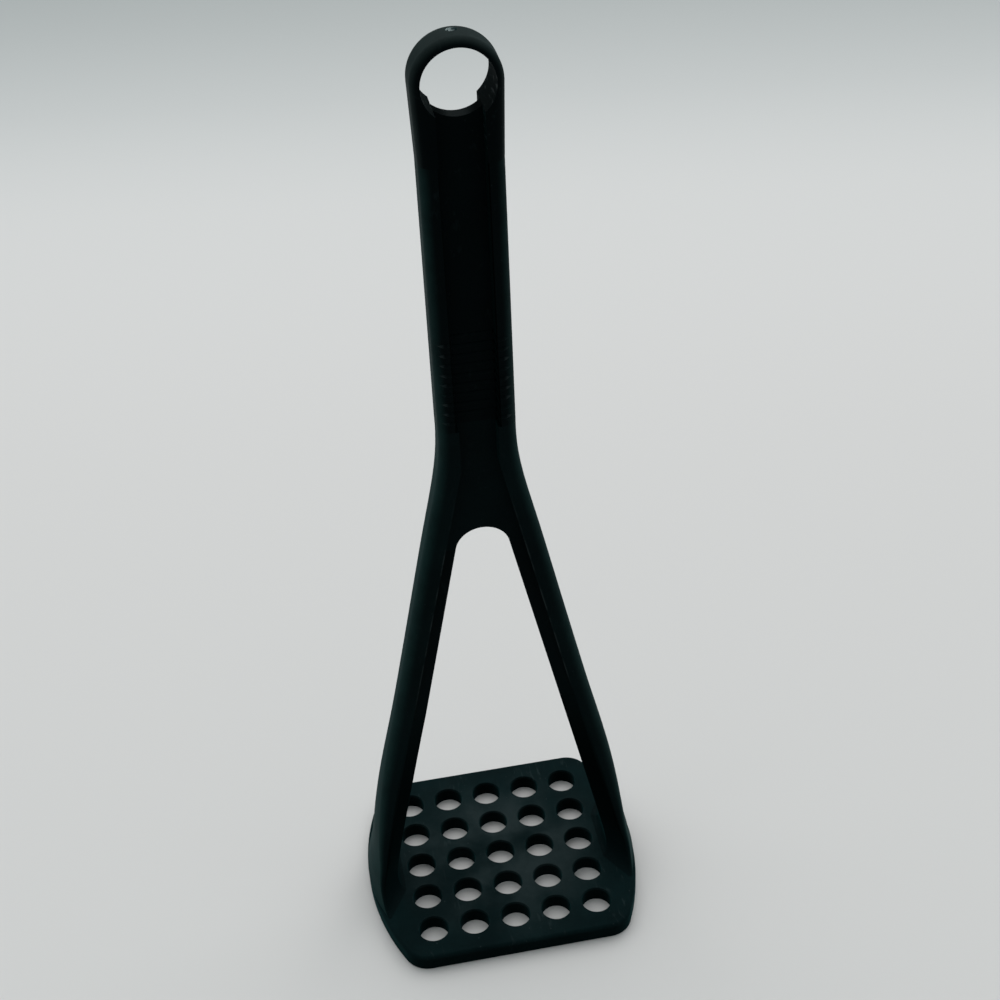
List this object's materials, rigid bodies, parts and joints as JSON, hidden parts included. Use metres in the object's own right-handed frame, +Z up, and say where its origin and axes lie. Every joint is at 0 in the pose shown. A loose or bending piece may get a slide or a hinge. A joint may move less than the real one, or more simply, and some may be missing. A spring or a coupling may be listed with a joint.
{
  "type": "potato masher",
  "caption": "One-piece nylon potato masher: perforated plate, two splayed arms that join in a neck, and a channelled handle with ribs and a hanging ring.",
  "frame": {"origin": "middle of the plate's underside, on the surface that the masher stands on", "axes": "+Z up along the handle, +X across the two arms to the right arm, -Y the side that the picture shows"},
  "size_m": [0.0862, 0.0738, 0.2826],
  "materials": {
    "black_nylon": "satin moulded nylon"
  },
  "bodies": {
    "root": {"mashing_plate": "black_nylon", "left_arm": "black_nylon", "right_arm": "black_nylon", "left_arm_flange": "black_nylon", "right_arm_flange": "black_nylon", "neck_web": "black_nylon", "left_handle_rail": "black_nylon", "right_handle_rail": "black_nylon", "handle_web": "black_nylon", "front_grip_ribs": "black_nylon", "back_grip_ribs": "black_nylon", "hanging_ring": "black_nylon", "gate_mark": "black_nylon"}
  },
  "joints": []
}
